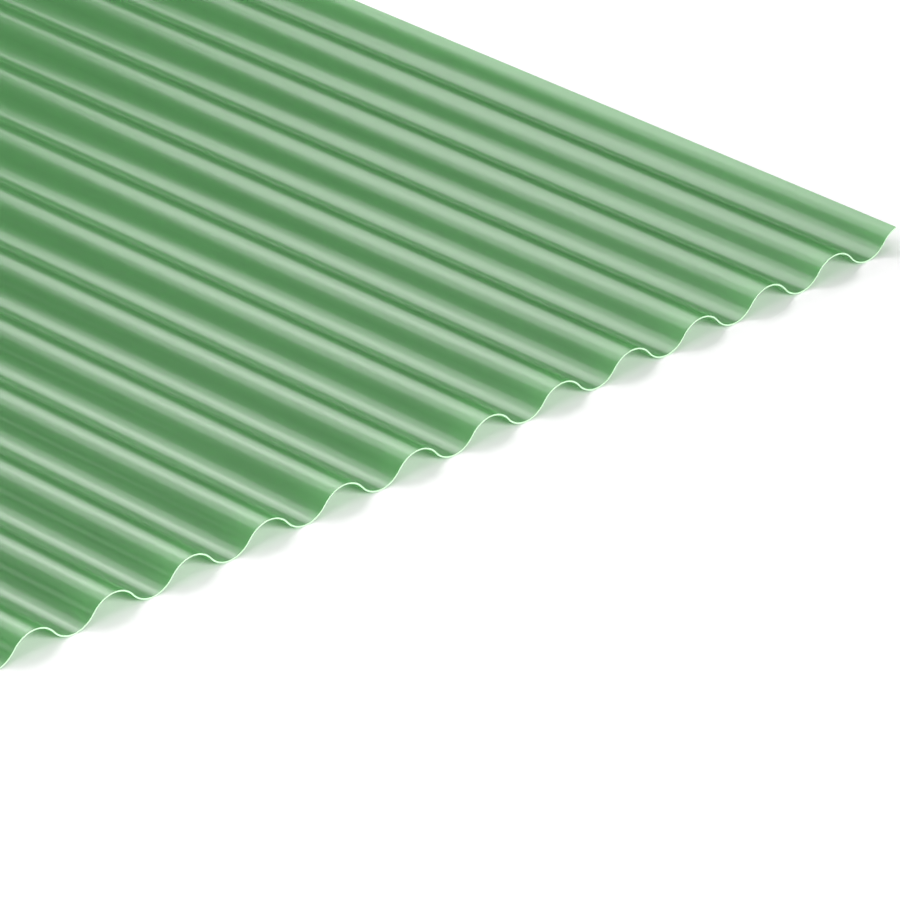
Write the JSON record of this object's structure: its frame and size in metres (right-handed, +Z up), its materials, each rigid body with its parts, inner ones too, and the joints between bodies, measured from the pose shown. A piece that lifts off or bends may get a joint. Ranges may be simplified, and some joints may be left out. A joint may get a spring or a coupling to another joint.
{
  "type": "corrugated pvc sheet",
  "caption": "Long flat sheet of green plastic in smooth round waves that run its whole length, for light roofing and cladding.",
  "frame": {"origin": "on the floor plane that the troughs rest on, under the middle of the sheet's length and width", "axes": "+Y along the waves, +X across them, +Z up, away from the floor"},
  "size_m": [0.9, 2, 0.018],
  "materials": {
    "green_pvc": "satin, slightly translucent, with fine lines along the waves"
  },
  "bodies": {
    "root": {"corrugated_sheet": "green_pvc"}
  },
  "joints": []
}
